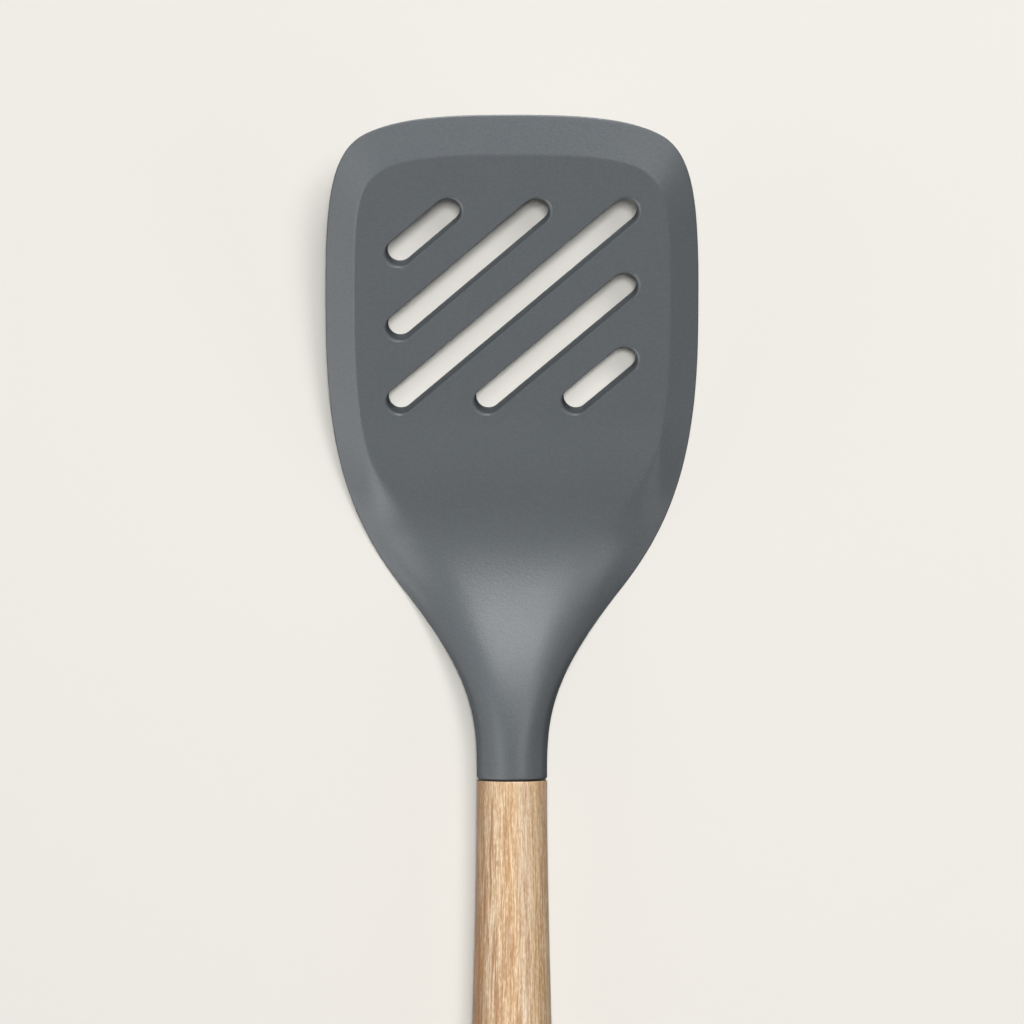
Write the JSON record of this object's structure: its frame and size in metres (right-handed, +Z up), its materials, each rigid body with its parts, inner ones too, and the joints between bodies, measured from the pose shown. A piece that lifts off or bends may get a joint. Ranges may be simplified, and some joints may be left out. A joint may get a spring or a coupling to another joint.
{
  "type": "slotted turner",
  "caption": "Slotted kitchen turner: soft bevelled blade with slanted draining slots over a stiff core, flared neck and a turned wooden handle with a hanging hole.",
  "frame": {"origin": "on the table, under the middle of the turner's length and width", "axes": "+Y along the turner towards the front edge of the blade, +X to the right, +Z up, face of the blade up"},
  "size_m": [0.095, 0.3386, 0.0357],
  "materials": {
    "silicone": "matte moulded",
    "nylon": "moulded",
    "washer": "matte",
    "adhesive": "cured",
    "wood": "sanded and oiled"
  },
  "bodies": {
    "root": {"silicone_head": "silicone", "nylon_core": "nylon", "joint_washer": "washer", "tang_adhesive": "adhesive", "handle": "wood"}
  },
  "joints": []
}
